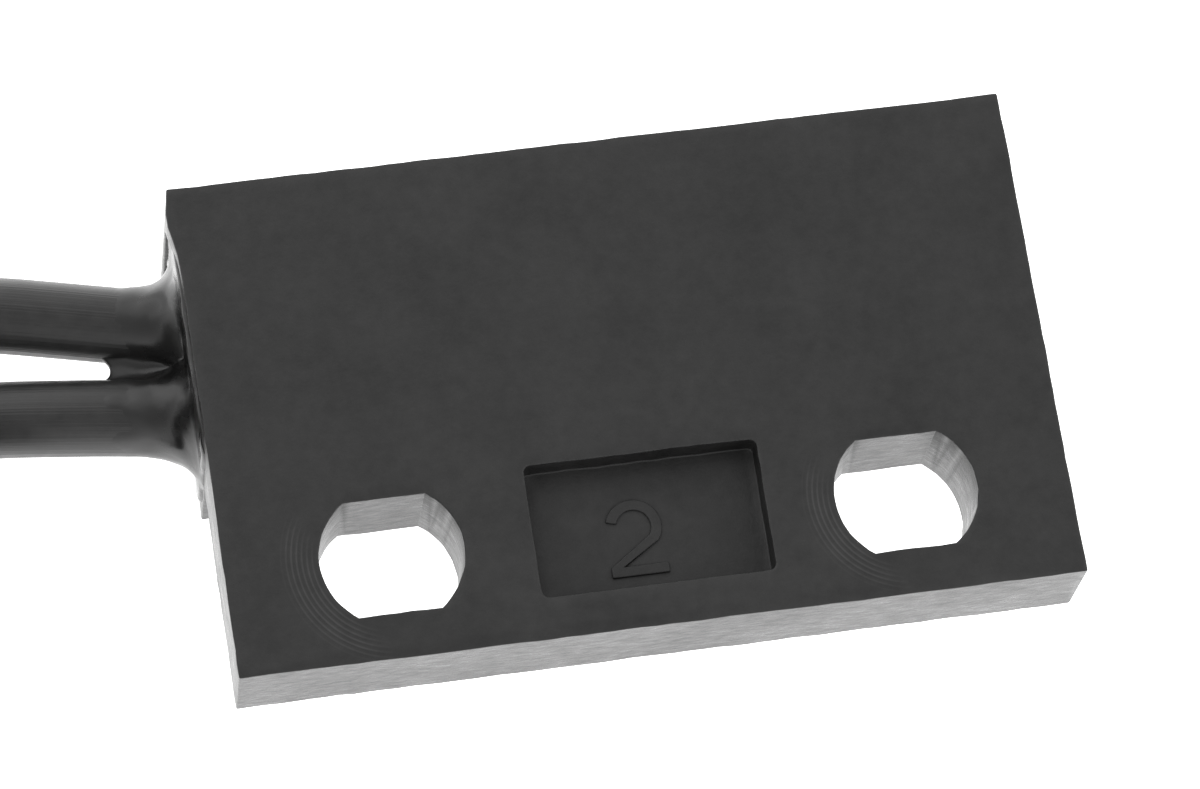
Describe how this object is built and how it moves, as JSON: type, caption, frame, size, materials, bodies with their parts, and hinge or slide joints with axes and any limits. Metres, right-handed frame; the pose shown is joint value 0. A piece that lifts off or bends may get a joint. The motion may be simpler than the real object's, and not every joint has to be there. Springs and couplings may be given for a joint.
{
  "type": "door contact sensor",
  "caption": "Flange-mount reed switch door contact: potted black shell with screw slots and insulated leads out of one end.",
  "frame": {"origin": "middle of the shell's rectangular footprint, on the plane that the back of the thick side rests on", "axes": "+Z out of the flat mounting face, +X from the end with the leads to the closed end, +Y from the flange to the thick side"},
  "size_m": [0.0576, 0.0275, 0.0113],
  "materials": {
    "shell_plastic": "finely textured moulding",
    "potting_resin": "glossy where it wets the leads",
    "lead_pvc": "satin, with fine lengthwise extrusion lines",
    "switch_glass": "fire polished",
    "silicone": "matte",
    "nickel_iron": "satin",
    "tinned_copper": "bright tin",
    "solder": "smooth solder",
    "tie_nylon": "natural nylon"
  },
  "bodies": {
    "sensor_body": {"housing": "shell_plastic", "potting_compound": "potting_resin", "reed_glass": "switch_glass", "buffer_sleeve": "silicone", "reed_lead_near": "nickel_iron", "reed_lead_far": "nickel_iron", "lead_1_core": "tinned_copper", "lead_2_core": "tinned_copper", "lead_1_jacket": "lead_pvc", "lead_2_jacket": "lead_pvc", "solder_joint_near": "solder", "solder_joint_far": "solder", "lead_coil": "lead_pvc", "coil_tie": "tie_nylon", "lead_1_run": "lead_pvc", "lead_1_tip": "tinned_copper", "lead_2_run": "lead_pvc", "lead_2_tail": "lead_pvc", "lead_2_tip": "tinned_copper"},
    "near_reed": {"reed_blade_near": "nickel_iron"},
    "far_reed": {"reed_blade_far": "nickel_iron"}
  },
  "joints": [
    {"name": "near_reed_bend", "type": "hinge", "parent": "sensor_body", "child": "near_reed", "pos_m": [-0.00354, 0.0046, 0.00308], "axis": [0, 1, 0], "range_deg": [0, 0.65], "stiffness_Nm_per_rad": 0.0001},
    {"name": "far_reed_bend", "type": "hinge", "parent": "sensor_body", "child": "far_reed", "pos_m": [0.00494, 0.0046, 0.00282], "axis": [0, 1, 0], "range_deg": [0, 0.65], "stiffness_Nm_per_rad": 0.0001}
  ],
  "couplings": [
    {"joint": "far_reed_bend", "follows": "near_reed_bend", "ratio": 1}
  ]
}
